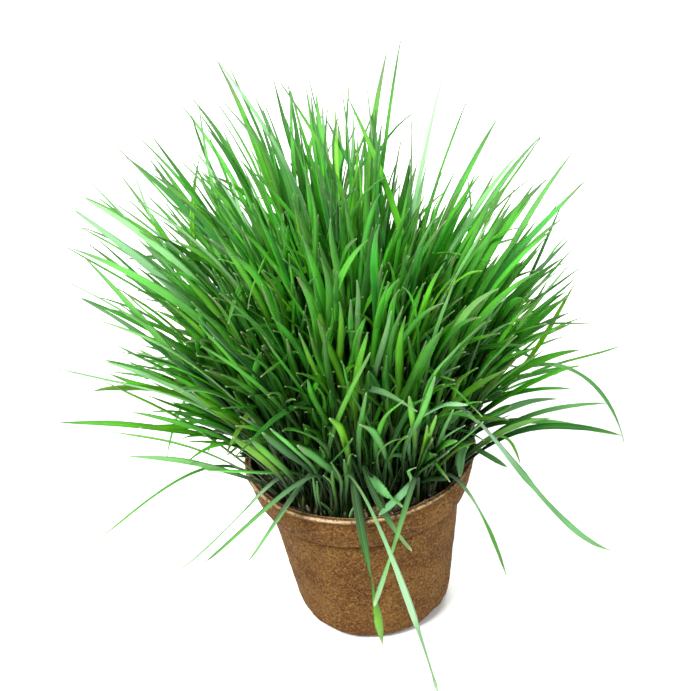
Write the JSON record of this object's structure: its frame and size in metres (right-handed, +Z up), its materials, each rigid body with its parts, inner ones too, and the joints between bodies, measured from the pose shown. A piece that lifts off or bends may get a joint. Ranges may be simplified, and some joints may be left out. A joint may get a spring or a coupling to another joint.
{
  "type": "wheatgrass pot",
  "caption": "Dense splayed tuft of wheatgrass growing from a seed mat in a soil-filled round moulded-fibre pot, with leaves falling over the rim.",
  "frame": {"origin": "centre of the pot's flat bottom, on the surface that it stands on", "axes": "+Z up along the pot's axis; -Y is the side with the most leaves over the rim, seen in the reference view; +X to the right of that view"},
  "size_m": [0.351, 0.2764, 0.376],
  "materials": {
    "fibre": "matt moulded plant fibre, brown with lighter and darker specks, paler on the lip",
    "soil": "moist dark potting soil, rough",
    "grass": "satin living leaf, thin and slightly translucent"
  },
  "bodies": {
    "root": {"pot": "fibre", "soil": "soil", "wheatgrass": "grass", "trailing_leaf_01": "grass", "trailing_leaf_02": "grass", "trailing_leaf_03": "grass", "trailing_leaf_04": "grass", "trailing_leaf_05": "grass", "trailing_leaf_06": "grass", "trailing_leaf_07": "grass", "trailing_leaf_08": "grass", "trailing_leaf_09": "grass", "trailing_leaf_10": "grass", "trailing_leaf_11": "grass", "trailing_leaf_12": "grass", "trailing_leaf_13": "grass", "trailing_leaf_14": "grass", "trailing_leaf_15": "grass"}
  },
  "joints": []
}
